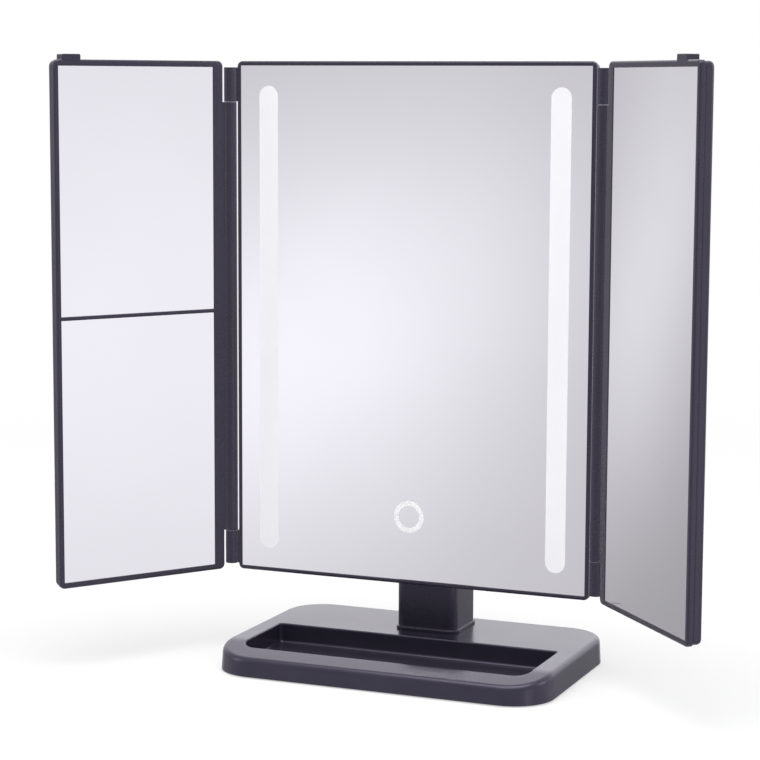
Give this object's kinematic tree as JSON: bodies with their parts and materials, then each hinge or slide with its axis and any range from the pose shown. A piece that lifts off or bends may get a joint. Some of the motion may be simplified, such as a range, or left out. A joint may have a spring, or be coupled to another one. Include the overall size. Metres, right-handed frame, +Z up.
{
  "type": "trifold vanity mirror",
  "caption": "Freestanding trifold vanity mirror with folding side mirrors, lit centre mirror with touch ring, tilting column and weighted tray base.",
  "frame": {"origin": "centre of the base's underside, on the plane of its feet", "axes": "+Z up from the table, +X to the right across the centre mirror, -Y the way the centre mirror faces"},
  "size_m": [0.3509, 0.1562, 0.3292],
  "materials": {
    "body_plastic": "satin",
    "dark_plastic": "satin",
    "mirror_glass": "polished",
    "frosted_glass": "frosted",
    "acrylic": "clear",
    "steel": "plated",
    "rubber": "matte",
    "circuit_board": "satin",
    "cell_sleeve": "satin"
  },
  "bodies": {
    "stand": {"base_shell": "body_plastic", "base_cover": "dark_plastic", "base_ballast": "steel", "base_feet": "rubber", "base_screws": "steel", "column": "body_plastic", "column_screws": "steel", "pivot_washers": "steel"},
    "head": {"pivot_bolt": "steel", "pivot_nut": "steel", "pivot_caps": "dark_plastic", "head_frame": "body_plastic", "head_rear_shell": "body_plastic", "head_mirror": "mirror_glass", "light_window_left": "frosted_glass", "light_window_right": "frosted_glass", "touch_ring": "frosted_glass", "light_guide_left": "acrylic", "light_guide_right": "acrylic", "led_board_left": "circuit_board", "led_board_right": "circuit_board", "touch_board": "circuit_board", "power_board": "circuit_board", "power_socket": "steel", "battery_cells": "cell_sleeve", "battery_contacts": "steel", "head_screws": "steel"},
    "left_wing": {"left_wing_frame": "body_plastic", "left_wing_cover": "body_plastic", "left_mirror_upper": "mirror_glass", "left_mirror_lower": "mirror_glass", "left_hinge_pins": "steel"},
    "right_wing": {"right_wing_frame": "body_plastic", "right_wing_cover": "body_plastic", "right_mirror": "mirror_glass", "right_hinge_pins": "steel"},
    "battery_door": {"battery_door": "dark_plastic"},
    "power_switch": {"power_switch": "dark_plastic"}
  },
  "joints": [
    {"name": "head_tilt", "type": "hinge", "parent": "stand", "child": "head", "pos_m": [0, 0.0353, 0.112], "axis": [-1, 0, 0], "range_deg": [-10, 30]},
    {"name": "left_wing_fold", "type": "hinge", "parent": "head", "child": "left_wing", "pos_m": [-0.1055, -0.0077, 0.1864], "axis": [0, 0, 1], "range_deg": [-56.2, 123.8]},
    {"name": "right_wing_fold", "type": "hinge", "parent": "head", "child": "right_wing", "pos_m": [0.1055, -0.0077, 0.1864], "axis": [0, 0, -1], "range_deg": [-48.2, 131.8]},
    {"name": "battery_door_slide", "type": "slide", "parent": "head", "child": "battery_door", "axis": [0, 0, 1], "range_m": [0, 0.07]},
    {"name": "power_switch_slide", "type": "slide", "parent": "head", "child": "power_switch", "axis": [1, 0, 0], "range_m": [0, 0.003]}
  ]
}
